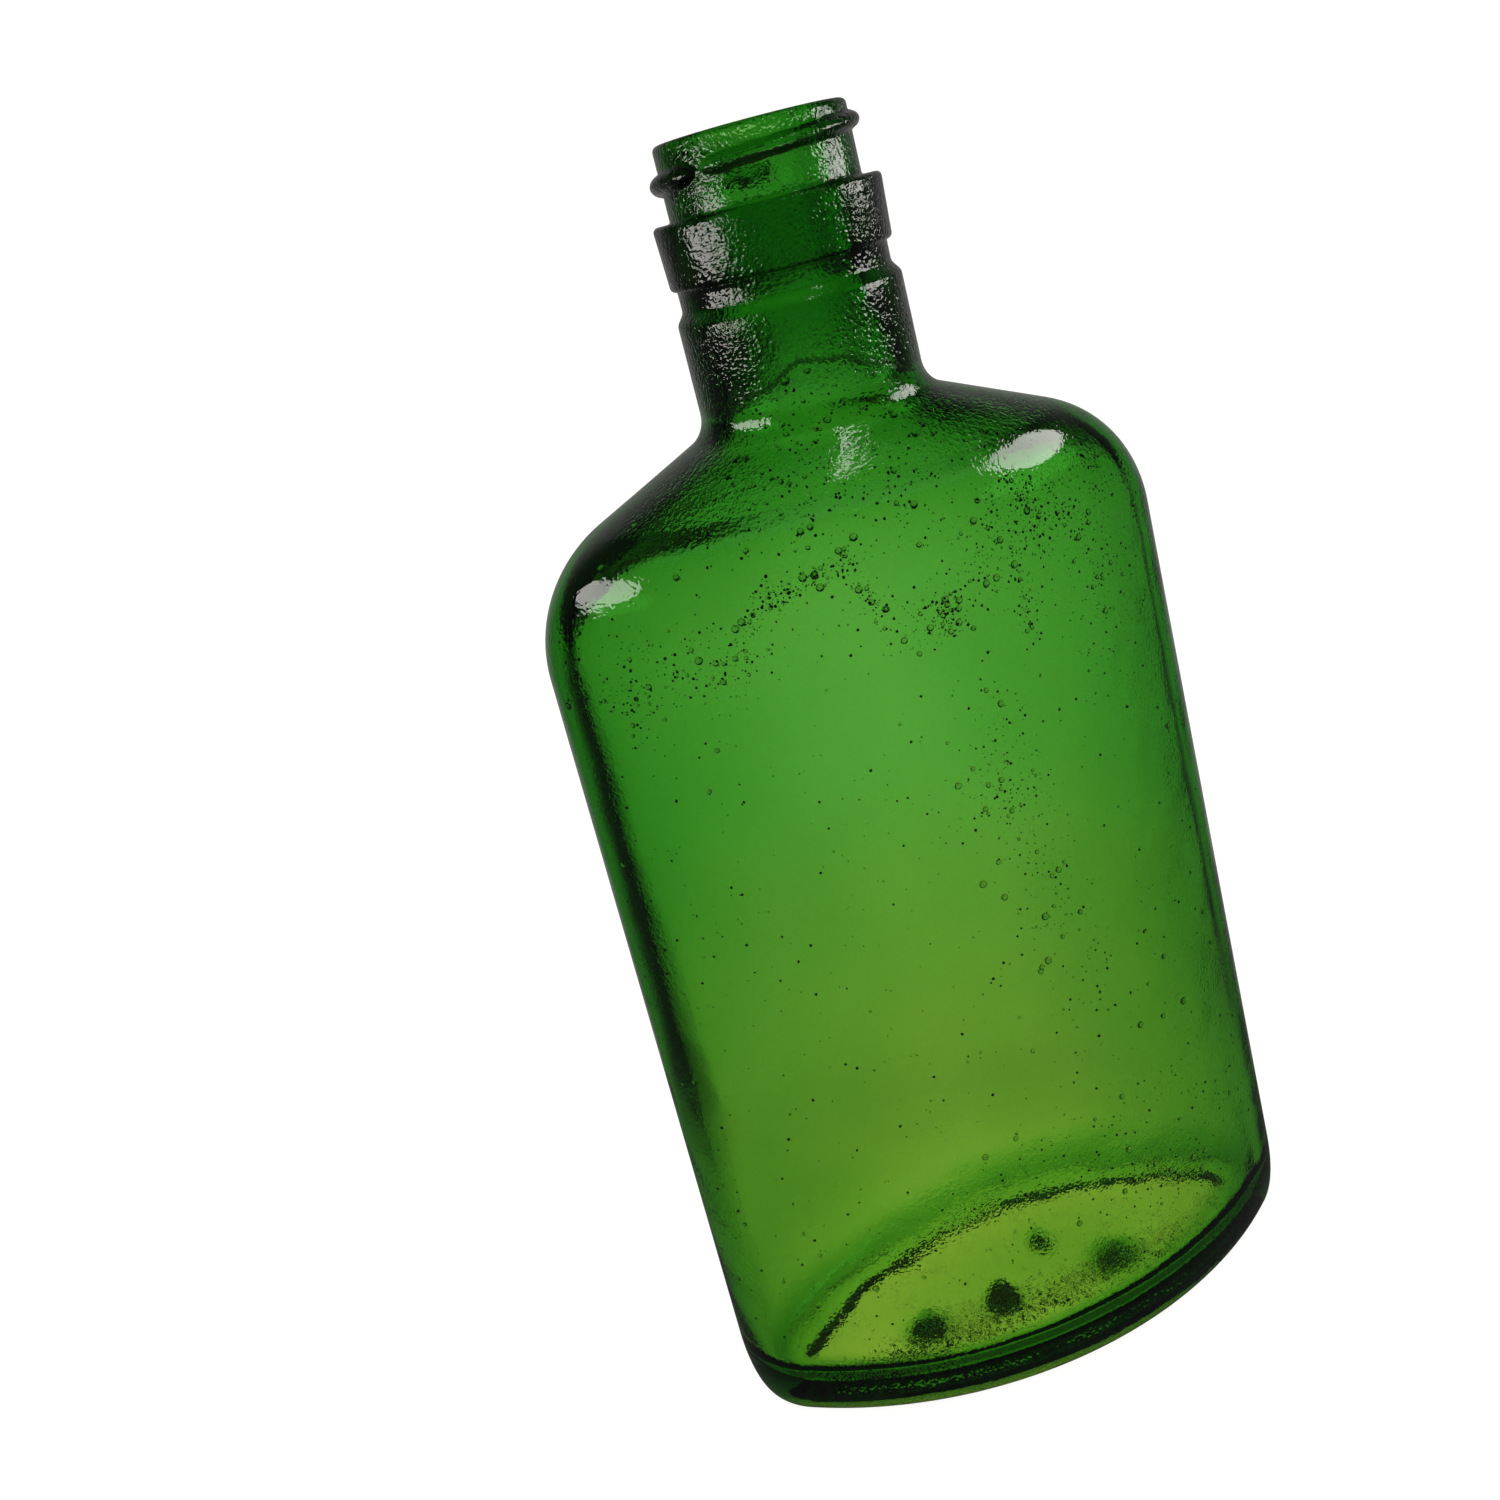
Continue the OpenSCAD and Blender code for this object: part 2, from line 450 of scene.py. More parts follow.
def surfaced(name: str) -> tuple[bpy.types.Material, Graph, bpy.types.bpy_prop_collection]:
    """Makes a material with the usual surface node.

    Args:
        name: The material's name.

    Returns:
        The material, its graph and the inputs of its surface node.
    """
    mat = bpy.data.materials.new(name)
    mat.use_nodes = True
    return mat, Graph(mat.node_tree), mat.node_tree.nodes["Principled BSDF"].inputs


def cleared(name: str) -> tuple[bpy.types.Material, Graph]:
    """Makes a material without nodes.

    Args:
        name: The material's name.

    Returns:
        The material and its graph.
    """
    mat = bpy.data.materials.new(name)
    mat.use_nodes = True
    mat.node_tree.nodes.clear()
    return mat, Graph(mat.node_tree)


@dataclass(frozen=True)
class GreenGlass:
    """Iron-green bottle glass that darkens with its depth."""

    name: str = "green_glass"
    tint: tuple[float, float, float] = (0.28, 0.70, 0.22)
    density: float = 730.0
    ior: float = 1.52
    relief: float = 0.00009
    ripple: float = 2.0
    grain: float = 1700.0

    def build(self, skin: bpy.types.NodeTree) -> bpy.types.Material:
        """Makes the material.

        Args:
            skin: The mould skin group.

        Returns:
            The glass.
        """
        mat, g = cleared(self.name)
        where = g.node("ShaderNodeAttribute", attribute_name="pitting").outputs["Fac"]
        marks = {"Pits": where, "Ripple": self.ripple, "Grain": self.grain}
        height = g.node("ShaderNodeGroup", marks, node_tree=skin).outputs["Height"]
        bump = g.node("ShaderNodeBump", {"Strength": 1.0, "Distance": self.relief, "Height": height})
        glass = {
            "Base Color": (1.0, 1.0, 1.0, 1.0),
            "Transmission Weight": 1.0,
            "IOR": self.ior,
            "Roughness": 0.0,
            "Normal": bump.outputs["Normal"],
        }
        surface = g.node("ShaderNodeBsdfPrincipled", glass)
        depth = g.node("ShaderNodeVolumeAbsorption", {"Color": (*self.tint, 1.0), "Density": self.density})
        g.node("ShaderNodeOutputMaterial", {"Surface": surface.outputs[0], "Volume": depth.outputs[0]})
        return mat


@dataclass(frozen=True)
class DriedFilm:
    """Brown residue that has dried on the glass."""

    name: str
    dark: tuple[float, float, float] = (0.035, 0.018, 0.004)
    light: tuple[float, float, float] = (0.16, 0.09, 0.02)
    grain: float = 1500.0
    cover: float = 1.0

    def build(self) -> bpy.types.Material:
        """Makes the material.

        Returns:
            The residue's finish.
        """
        mat, g, surface = surfaced(self.name)
        place = g.node("ShaderNodeTexCoord").outputs["Object"]
        specks = {"Vector": place, "Scale": self.grain, "Detail": 3.0}
        speck = g.node("ShaderNodeTexNoise", specks).outputs[0]
        share = g.smooth(speck, 0.35, 0.65)
        g.feed(surface["Base Color"], g.blend(share, (*self.dark, 1.0), (*self.light, 1.0)))
        g.feed(surface["Roughness"], g.smooth(speck, 0.3, 0.7, 0.5, 0.9))
        g.feed(surface["Alpha"], self.cover)
        return mat


@dataclass(frozen=True)
class ClearDrop:
    """A clear drop or blister, brighter than the glass round it."""

    name: str = "clear_drop"
    ior: float = 1.33
    dull: tuple[float, float, float] = (0.55, 0.6, 0.5)
    bright: tuple[float, float, float] = (0.95, 1.0, 0.95)

    def build(self) -> bpy.types.Material:
        """Makes the material.

        Returns:
            The drop's finish.
        """
        mat, g, surface = surfaced(self.name)
        g.feed(surface["Transmission Weight"], 1.0)
        g.feed(surface["IOR"], self.ior)
        place = g.node("ShaderNodeTexCoord").outputs["Object"]
        haze = g.node("ShaderNodeTexNoise", {"Vector": place, "Scale": 900.0}).outputs[0]
        g.feed(surface["Base Color"], g.blend(haze, (*self.dull, 1.0), (*self.bright, 1.0)))
        g.feed(surface["Roughness"], g.smooth(haze, 0.4, 0.7, 0.0, 0.12))
        return mat


# ---------------------------------------------------------------------------------------------
# The glass
# ---------------------------------------------------------------------------------------------


@dataclass
class Finish:
    """The thread that is raised on the mouth, as a rule for a geometry tree."""

    sizes: FlaskSizes
    pitch: float = 4.23
    stand: float = 1.2
    width: float = 2.3
    fade: float = 14.0
    lower_run: tuple[float, float] = (60.0, 214.0)
    lower_drop: float = 6.1
    lower_size: float = 1.17
    upper_run: tuple[float, float] = (218.0, 372.0)
    upper_drop: float = 4.2
    fullness: float = 0.62
    unevenness: float = 0.55

    def tree(self) -> tuple[bpy.types.NodeTree, dict[str, object]]:
        """Builds the tree that raises the thread and ripples the inner wall.

        Returns:
            The tree, and its input values by identifier.
        """
        tree = geometry_tree("thread_and_ripple")
        rows = {
            "Pitch": self.pitch * MM,
            "Stand": self.stand * MM,
            "Width": self.width * MM,
            "Fade": math.radians(self.fade),
            "Lower start": (self.sizes.height - self.lower_drop) * MM,
            "Upper start": (self.sizes.height - self.upper_drop) * MM,
            "Ripple": self.unevenness * MM,
        }
        values = {named_input(tree, name, "NodeSocketFloat", value): value for name, value in rows.items()}
        g = Graph(tree)
        start = g.node("NodeGroupInput").outputs
        x, y, z = g.split(g.node("GeometryNodeInputPosition").outputs[0])
        around = g.math("FLOORED_MODULO", g.math("ARCTAN2", y, x), 2 * math.pi)
        past = g.math("ADD", around, 2 * math.pi)
        low = self.ridge(g, start, z, around, self.lower_run, "Lower start", self.lower_size)
        high = self.ridge(g, start, z, around, self.upper_run, "Upper start", 1.0)
        rest = self.ridge(g, start, z, past, self.upper_run, "Upper start", 1.0)
        raised = g.math("MAXIMUM", g.math("MAXIMUM", low, high), rest)
        raised = g.math("MULTIPLY", raised, g.attribute("finish"))
        flat = g.node("ShaderNodeCombineXYZ", {0: x, 1: y}).outputs[0]
        away = g.node("ShaderNodeVectorMath", {0: flat}, operation="NORMALIZE").outputs[0]
        threaded = g.move(start["Geometry"], away, raised)
        g.node("NodeGroupOutput", {0: self.ripple(g, start, threaded)})
        return tree, values

    def ridge(
        self,
        g: Graph,
        start: bpy.types.bpy_prop_collection,
        z: bpy.types.NodeSocket,
        turn: bpy.types.NodeSocket,
        run: tuple[float, float],
        level: str,
        size: float,
    ) -> bpy.types.NodeSocket:
        """One stretch of thread, as a height over the wall.

        Args:
            g: The graph.
            start: The group's inputs.
            z: Height of the point.
            turn: Angle of the point round the axis.
            run: Angles at which the stretch begins and ends, in degrees.
            level: Name of the input that holds its starting height.
            size: Scale of its section.

        Returns:
            The height.
        """
        along = g.math("SUBTRACT", turn, math.radians(run[0]))
        left = g.math("SUBTRACT", math.radians(run[1]), turn)
        rise = g.math("MULTIPLY", start["Pitch"], g.math("DIVIDE", along, 2 * math.pi))
        centre = g.math("ADD", start[level], rise)
        nearest = g.math("MINIMUM", along, left)
        ends = g.math("DIVIDE", nearest, start["Fade"], clamp=True)
        full = g.math("SQRT", g.math("SINE", g.math("MULTIPLY", ends, math.pi / 2)))
        reach = g.math("MULTIPLY", g.math("MULTIPLY", start["Width"], 0.5 * size), full)
        reach = g.math("MAXIMUM", reach, 1e-5)
        off = g.math("DIVIDE", g.math("SUBTRACT", z, centre), reach)
        dome = g.math("SUBTRACT", 1.0, g.math("MULTIPLY", off, off), clamp=True)
        section = g.math("POWER", dome, self.fullness)
        tall = g.math("MULTIPLY", g.math("MULTIPLY", start["Stand"], size), full)
        return g.math("MULTIPLY", section, tall)

    def ripple(
        self, g: Graph, start: bpy.types.bpy_prop_collection, shape: bpy.types.NodeSocket
    ) -> bpy.types.NodeSocket:
        """Adds the uneven inner wall that blowing leaves.

        Args:
            g: The graph.
            start: The group's inputs.
            shape: The geometry so far.

        Returns:
            The rippled geometry.
        """
        terms = []
        for scale, part, stretch in ((28.0, 1.0, 0.55), (75.0, 0.34, 1.0)):
            here = {0: g.node("GeometryNodeInputPosition").outputs[0], 1: (1.0, 1.0, stretch)}
            place = g.node("ShaderNodeVectorMath", here, operation="MULTIPLY").outputs[0]
            swell = g.node("ShaderNodeTexNoise", {"Vector": place, "Scale": scale, "Detail": 0.0})
            terms.append(g.math("MULTIPLY", g.math("SUBTRACT", swell.outputs[0], 0.5), 2.0 * part))
        total = g.math("MULTIPLY", g.math("ADD", *terms), g.attribute("inside"))
        amount = g.math("MULTIPLY", total, start["Ripple"])
        return g.move(shape, g.node("GeometryNodeInputNormal").outputs[0], amount)


@dataclass(frozen=True)
class Pitting:
    """How rough each stretch of the skin is, from 0 for smooth to 1 for the collar."""

    under: float = 0.3
    heel: float = 0.08
    body: float = 0.12
    shoulder: float = 0.14
    shoulder_top: float = 0.35
    shoulder_top_z: float = 126.0
    neck: float = 0.8
    collar: float = 1.0
    ledge: float = 0.6
    thread: float = 0.7
    lip: float = 0.5
    bore: float = 0.2
    inside: float = 0.1


@dataclass
class GlassFlask:
    """The whole glass: outer surface, lip, bore and inner wall as one closed skin."""

    sizes: FlaskSizes
    wall: WallSizes
    finish: Finish
    rough: Pitting = Pitting()
    around: int = 256
    rings: list[tuple[Ring, float, float, float]] = field(default_factory=list)

    def add(self, ring: Ring, pitting: float, finish: float = 0.0, inside: float = 0.0) -> None:
        """Adds a ring of the skin.

        Args:
            ring: Its points.
            pitting: How rough its surface is.
            finish: How far it takes part in the thread.
            inside: How far it ripples as inner wall.
        """
        self.rings.append((ring, finish, inside, pitting))

    def circle(self, r: float, z: float) -> Ring:
        """Points round a circle on the axis.

        Args:
            r: Its radius.
            z: Its height.

        Returns:
            The ring.
        """
        step = 2 * math.pi / self.around
        return [(r * math.cos(i * step), r * math.sin(i * step), z) for i in range(self.around)]

    def bore(self, z: float) -> float:
        """Inside radius of the neck, which widens from the collar down to the shoulder.

        Args:
            z: Height.

        Returns:
            The radius there.
        """
        s = self.sizes
        part = max(0.0, min(1.0, (s.collar_z - z) / (s.collar_z - s.neck_z)))
        return s.bore_r + (s.neck_r - self.wall.neck_root - s.bore_r) * part

    def shoulder_curve(self, inset: float, steps: int) -> list[tuple[float, float]]:
        """Half width and height down the shoulder.

        Args:
            inset: How far inside the outer surface the curve runs.
            steps: Number of points on each curved part.

        Returns:
            The curve, from the neck to the straight sides.
        """
        s = self.sizes
        quarter = math.radians(90 - s.slope)
        root = [
            (s.root_x - (s.root_r + inset) * math.cos(quarter * k / steps),
             s.neck_z - (s.root_r + inset) * math.sin(quarter * k / steps))
            for k in range(steps + 1)
        ]
        turn = [
            (s.shoulder_x + (s.shoulder_r - inset) * math.cos(quarter * (1 - k / (2 * steps))),
             s.shoulder_z + (s.shoulder_r - inset) * math.sin(quarter * (1 - k / (2 * steps))))
            for k in range(2 * steps + 1)
        ]
        (x0, z0), (x1, z1) = root[-1], turn[0]
        slope = [(x0 + (x1 - x0) * k / 6, z0 + (z1 - z0) * k / 6) for k in range(1, 6)]
        return root + slope + turn

    def shoulder_ring(self, half_w: float, z: float, neck_r: float, body: Oval) -> Ring:
        """A ring of the shoulder, round at the neck and oval at the body.

        Args:
            half_w: Half width of the ring.
            z: Its height.
            neck_r: Radius at which it is round.
            body: Section at which it is oval.

        Returns:
            The ring.
        """
        part = (half_w - neck_r) / (body.half_w - neck_r)
        half_d = neck_r + part * (body.half_d - neck_r)
        points = []
        for i in range(self.around):
            turn = 2 * math.pi * i / self.around
            oval = body.y(body.half_w * math.cos(turn)) / body.half_d if i % (self.around // 2) else 0.0
            oval = math.copysign(oval, math.sin(turn))
            y = half_d * ((1 - part) * math.sin(turn) + part * oval)
            points.append((half_w * math.cos(turn), y, z))
        return points

    def under(self) -> None:
        """Adds the hollow under the base, the standing ring and the heel."""
        s = self.sizes
        inner = s.heel_inset + s.ring_w
        deepest = s.body.edge_r - 0.6
        for k in range(1, 8):
            self.add(s.body.inset(deepest).ring(s.push_up, self.around, k / 8), self.rough.under)
        for k in range(13):
            inset = deepest + (inner - deepest) * k / 12
            part = min(1.0, (inset - inner) / (deepest - inner))
            z = s.push_up * (1 - math.cos(math.pi * part)) / 2
            self.add(s.body.inset(inset).ring(z, self.around), self.rough.under)
        for k in range(1, 6):
            self.add(s.body.inset(inner - s.ring_w * k / 6).ring(0.0, self.around), self.rough.heel)
        for k in range(15):
            a = math.pi / 2 * k / 14
            inset = s.heel_inset * (1 - math.sin(a))
            z = s.heel_curve_h * (1 - math.cos(a))
            self.add(s.body.inset(inset).ring(z, self.around), self.rough.heel)

    def outside(self) -> None:
        """Adds the outer wall, the shoulder, the neck and the collar."""
        s = self.sizes
        low, high = s.heel_curve_h, s.shoulder_z
        for k in range(1, 30):
            self.add(s.body.ring(low + (high - low) * k / 30, self.around), self.rough.body)
        for half_w, z in reversed(self.shoulder_curve(0.0, 10)):
            low_down = z < self.rough.shoulder_top_z
            rough = self.rough.shoulder if low_down else self.rough.shoulder_top
            self.add(self.shoulder_ring(half_w, z, s.neck_r, s.body), rough)
        for k in range(1, 8):
            self.add(self.circle(s.neck_r, s.neck_z + (s.groove_z - s.neck_z) * k / 8), self.rough.neck)
        foot = s.groove_h * 0.45
        for k in range(9):
            r = s.groove_r + (s.neck_r - s.groove_r) * (1 + math.cos(math.pi * k / 8)) / 2
            self.add(self.circle(r, s.groove_z + foot * k / 8), self.rough.neck)
        for k in range(1, 4):
            z = s.groove_z + foot + (s.groove_h - foot) * k / 4
            self.add(self.circle(s.groove_r, z), self.rough.neck)
        c = s.collar_round
        self.add(self.circle(s.groove_r + 0.03, s.collar_z - 0.06), self.rough.neck)
        self.add(self.circle(s.groove_r + 0.1, s.collar_z), self.rough.neck)
        for k in range(7):
            a = math.radians(-90 + 15 * k)
            r = s.collar_low_r - c + c * math.cos(a)
            self.add(self.circle(r, s.collar_z + c + c * math.sin(a)), self.rough.collar)
        for k in range(1, 6):
            r = s.collar_low_r + (s.collar_top_r - s.collar_low_r) * k / 6
            self.add(self.circle(r, s.collar_z + c + (s.collar_h - 2 * c) * k / 6), self.rough.collar)
        for k in range(7):
            a = math.radians(15 * k)
            r = s.collar_top_r - c + c * math.cos(a)
            self.add(self.circle(r, s.finish_z - c + c * math.sin(a)), self.rough.collar)

    def mouth(self) -> None:
        """Adds the threaded wall, the lip and the bore."""
        s = self.sizes
        lip = s.height - s.lip_h
        round_r = s.lip_round
        self.add(self.circle(s.finish_r + 0.3, s.finish_z + 0.02), self.rough.ledge)
        self.add(self.circle(s.finish_r + 0.06, s.finish_z + 0.12), self.rough.ledge)
        top = s.height - round_r
        steps = 44
        for k in range(1, steps + 1):
            z = s.finish_z + 0.12 + (top - s.finish_z - 0.12) * k / steps
            self.add(self.circle(s.finish_r, z), self.rough.thread, finish=float(z < lip + 0.5))
        for k in range(1, 9):
            a = math.pi / 2 * k / 8
            r = s.finish_r - round_r + round_r * math.cos(a)
            self.add(self.circle(r, top + round_r * math.sin(a)), self.rough.ledge)
        for k in range(0, 9):
            a = math.pi / 2 * (1 + k / 8)
            r = s.bore_r + round_r + round_r * math.cos(a)
            self.add(self.circle(r, top + round_r * math.sin(a)), self.rough.lip)
        for k in range(1, 13):
            self.add(self.circle(s.bore_r, top + (s.collar_z - top) * k / 12), self.rough.bore, inside=0.12)

    def inside(self) -> None:
        """Adds the inner wall of the neck, the shoulder and the body, and the floor."""
        s, w = self.sizes, self.wall
        neck_in = self.bore(s.neck_z)
        body = Oval(s.body.half_w - w.edge, s.body.half_d - w.panel, s.body.edge_r - w.edge + 0.6)
        for k in range(1, 9):
            z = s.collar_z + (s.neck_z - s.collar_z) * k / 9
            self.add(self.circle(self.bore(z), z), self.rough.inside, inside=0.12 + 0.5 * k / 9)
        curve = self.shoulder_curve(w.edge, 9)
        widest = curve[-1][0]
        for x, z in curve:
            x = neck_in + (x - curve[0][0]) * (body.half_w - neck_in) / (widest - curve[0][0])
            self.add(self.shoulder_ring(x, z, neck_in, body), self.rough.inside, inside=0.8)
        low = w.floor_z + w.corner_r
        for k in range(1, 41):
            z = s.shoulder_z + (low - s.shoulder_z) * k / 40
            self.add(body.ring(z, self.around), self.rough.inside, inside=1.0)
        reach = min(w.corner_r, body.edge_r - 0.7)
        for k in range(1, 13):
            a = math.pi / 2 * k / 12
            inset = reach * (1 - math.cos(a))
            z = w.floor_z + w.corner_r * (1 - math.sin(a))
            ring = body.inset(inset).ring(z, self.around)
            self.add(ring, self.rough.inside, inside=1.0 - 0.5 * k / 12)
        for k in range(1, 30):
            part = k / 30
            z = w.floor_z + w.floor_crown * (1 - math.cos(math.pi * part)) / 2
            ring = body.inset(reach).ring(z, self.around, 1 - part)
            lumpy = [(x, y, z + self.lump(x, y)) for x, y, z in ring]
            self.add(lumpy, self.rough.inside, inside=0.5)

    def lump(self, x: float, y: float) -> float:
        """Height of the cooled lumps on the floor at a place.

        Args:
            x: Distance across.
            y: Distance back.

        Returns:
            The height over the floor.
        """
        return sum(
            h * math.exp(-((x - cx) ** 2 + (y - cy) ** 2) / (2 * r * r)) for cx, cy, r, h in FLOOR_LUMPS
        )

    def build(self, glass: bpy.types.Material) -> bpy.types.Object:
        """Makes the skin, raises its thread and ripples it.

        Args:
            glass: The glass finish.

        Returns:
            The glass piece.
        """
        self.under()
        self.outside()
        self.mouth()
        self.inside()
        s, w, n = self.sizes, self.wall, self.around
        points: list[Point] = [p for ring, *_ in self.rings for p in ring]
        low, high = len(points), len(points) + 1
        points += [(0.0, 0.0, s.push_up), (0.0, 0.0, w.floor_z + w.floor_crown)]
        faces: list[tuple[int, ...]] = []
        last = (len(self.rings) - 1) * n
        for i in range(n):
            k = (i + 1) % n
            faces.append((low, k, i))
            faces.append((high, last + i, last + k))
            for j in range(len(self.rings) - 1):
                a, b = j * n, (j + 1) * n
                faces.append((a + i, a + k, b + k, b + i))
        made = make_object("glass_flask", points, faces)
        for index, name in enumerate(("finish", "inside", "pitting")):
            layer = made.data.attributes.new(name, "FLOAT", "POINT")
            flat = [row[index + 1] for row in self.rings for _ in range(n)] + [0.0, 0.4 if index else 0.0]
            layer.data.foreach_set("value", flat)
        tree, values = self.finish.tree()
        run_tree(made, tree, values)
        made.data.materials.clear()
        made.data.materials.append(glass)
        return made


# ---------------------------------------------------------------------------------------------
# What is left inside
# ---------------------------------------------------------------------------------------------


class Patch(Enum):
    """The parts of the inner wall that something has dried on."""

    FRONT = "front wall"
    FLOOR = "floor"


@dataclass(frozen=True)
class Cluster:
    """A cluster of drops: its middle, how far it spreads, and drops to a square millimetre."""

    across: float
    up: float
    spread: float
    spread_up: float
    density: float
    lean: float = 0.0

    def at(self, x: float, z: float) -> float:
        """Density at a place.

        Args:
            x: Distance across.
            z: Height, or distance back on the floor.

        Returns:
            Drops to a square millimetre.
        """
        u = (x - self.across) / self.spread
        v = (z - self.up - self.lean * (x - self.across)) / self.spread_up
        return self.density * math.exp(-0.5 * (u * u + v * v))


DROP_CLUSTERS = (
    Cluster(-20.0, 113.2, 2.6, 0.7, 1.5, 1.4),
    Cluster(-15.8, 115.8, 2.6, 0.8, 1.5, 0.3),
    Cluster(-10.5, 117.3, 2.4, 0.5, 1.6, 0.3),
    Cluster(-6.2, 115.3, 1.0, 2.4, 1.2, -2.0),
    Cluster(-4.0, 112.0, 1.6, 0.8, 0.9),
    Cluster(1.8, 107.6, 3.4, 0.9, 1.7, 0.22),
    Cluster(2.5, 109.6, 2.2, 1.2, 0.9),
    Cluster(9.5, 112.5, 2.8, 2.2, 0.55),
    Cluster(16.0, 118.3, 3.2, 2.6, 0.75),
    Cluster(20.0, 113.5, 4.5, 2.2, 0.5),
    Cluster(14.5, 105.5, 1.2, 2.2, 0.7),
    Cluster(24.0, 117.0, 5.5, 3.0, 0.35),
    Cluster(29.0, 106.0, 4.5, 6.0, 0.16),
    Cluster(27.0, 98.5, 3.6, 5.0, 0.12),
    Cluster(-24.5, 108.8, 3.4, 1.0, 0.9, 0.25),
    Cluster(-29.0, 110.0, 4.5, 2.6, 0.4),
    Cluster(-34.0, 107.5, 2.4, 3.0, 0.35),
    Cluster(7.5, 88.0, 3.0, 6.0, 0.2),
    Cluster(4.5, 83.0, 4.0, 4.0, 0.22),
    Cluster(8.5, 72.0, 2.6, 9.0, 0.2),
    Cluster(13.0, 58.0, 2.5, 7.0, 0.1),
    Cluster(9.5, 30.0, 8.0, 5.0, 0.1),
    Cluster(18.5, 22.0, 6.0, 5.0, 0.16),
    Cluster(0.0, 131.0, 17.0, 4.0, 0.3),
    Cluster(-4.0, 137.0, 14.0, 3.0, 0.22),
    Cluster(5.0, 124.0, 14.0, 3.0, 0.22),
)

SEDIMENT = (
    Cluster(-20.0, -9.5, 9.0, 2.4, 2.6, 0.05),
    Cluster(2.0, -10.5, 13.0, 1.8, 2.0, 0.0),
    Cluster(22.0, -7.5, 7.0, 1.7, 0.9, 0.2),
    Cluster(0.0, 6.0, 20.0, 5.0, 0.12),
)


@dataclass
class Deposit:
    """Small drops or grains that are spread over a patch of the inner wall."""

    name: str
    patch: Patch
    clusters: tuple[Cluster, ...]
    background: float
    smallest: float
    largest: float
    flatness: float
    seed: int
    share: float = 1.0
    detail: int = 1

    def density(self, point: Vector, normal: Vector) -> float:
        """Grains to a square millimetre at a place on the wall.

        Args:
            point: The place, in metres.
            normal: The wall's normal there, which points into the hollow.

        Returns:
            The density.
        """
        x, y, z = point / MM
        if self.patch is Patch.FLOOR:
            if z > 12.0 or normal.z < 0.5:
                return 0.0
            return self.share * sum(c.at(x, y) for c in self.clusters)
        if y > 0.0 or z > 142.0 or z < 9.0:
            return 0.0
        lumpy = 0.35 + 1.3 * max(0.0, noise.noise(Vector((x, y, z)) * 0.45) + 0.25)
        return self.share * (self.background + lumpy * sum(c.at(x, z) for c in self.clusters))

    def carrier(self, glass: bpy.types.Object) -> bpy.types.Object:
        """Copies the stretch of the inner wall that the grains sit on.

        Args:
            glass: The finished glass.

        Returns:
            An object with a density attribute.
        """
        mesh = glass.data
        inside = [row.value > 0.0 for row in mesh.attributes["inside"].data]
        thick = [self.density(v.co, v.normal) if inside[v.index] else 0.0 for v in mesh.vertices]
        faces = [p.vertices[:] for p in mesh.polygons if max(thick[i] for i in p.vertices) > 0.004]
        used = sorted({i for f in faces for i in f})
        place = {old: new for new, old in enumerate(used)}
        points = [tuple(mesh.vertices[i].co / MM) for i in used]
        made = make_object(self.name, points, [[place[i] for i in f] for f in faces])
        layer = made.data.attributes.new("grains", "FLOAT", "POINT")
        layer.data.foreach_set("value", [thick[i] for i in used])
        return made

    def tree(self, finish: bpy.types.Material) -> tuple[bpy.types.NodeTree, dict[str, object]]:
        """Builds the tree that scatters the grains.

        Args:
            finish: The grains' material.

        Returns:
            The tree, and its input values by identifier.
        """
        tree = geometry_tree(self.name + "_scatter")
        rows = {"Smallest": self.smallest * MM, "Largest": self.largest * MM, "Flatness": self.flatness}
        values = {named_input(tree, name, "NodeSocketFloat", value): value for name, value in rows.items()}
        values[named_input(tree, "Seed", "NodeSocketInt", self.seed)] = self.seed
        g = Graph(tree)
        start = g.node("NodeGroupInput").outputs
        per_metre = g.math("MULTIPLY", g.attribute("grains"), 1e6)
        wall = {"Mesh": start["Geometry"], "Density": per_metre, "Seed": start["Seed"]}
        spread = g.node("GeometryNodeDistributePointsOnFaces", wall, distribute_method="RANDOM").outputs
        grain = g.node("GeometryNodeMeshIcoSphere", {"Radius": 1.0, "Subdivisions": self.detail})
        chance = g.node("FunctionNodeRandomValue", data_type="FLOAT")
        g.feed(chance.inputs["Seed"], start["Seed"])
        few = g.math("POWER", next(s for s in chance.outputs if s.enabled), 3.0)
        room = g.math("SUBTRACT", start["Largest"], start["Smallest"])
        size = g.math("MULTIPLY_ADD", few, room, start["Smallest"])
        flat = g.math("MULTIPLY", size, start["Flatness"])
        each = {
            "Points": spread["Points"],
            "Instance": grain.outputs["Mesh"],
            "Rotation": spread["Rotation"],
            "Scale": g.node("ShaderNodeCombineXYZ", {0: size, 1: size, 2: flat}).outputs[0],
        }
        g.dress(g.node("GeometryNodeInstanceOnPoints", each).outputs[0], finish, smooth=True)
        return tree, values

    def build(self, glass: bpy.types.Object, finish: bpy.types.Material) -> bpy.types.Object:
        """Scatters the grains over the wall.

        Args:
            glass: The finished glass.
            finish: The grains' material.

        Returns:
            The piece.
        """
        made = self.carrier(glass)
        tree, values = self.tree(finish)
        run_tree(made, tree, values)
        return made


# Height of the brown line at some angles round the neck, in degrees and millimetres
TIDE_HEIGHTS = (
    (196.0, 138.0), (222.0, 139.2), (248.0, 141.8), (272.0, 141.0), (300.0, 138.7), (332.0, 136.2)
)


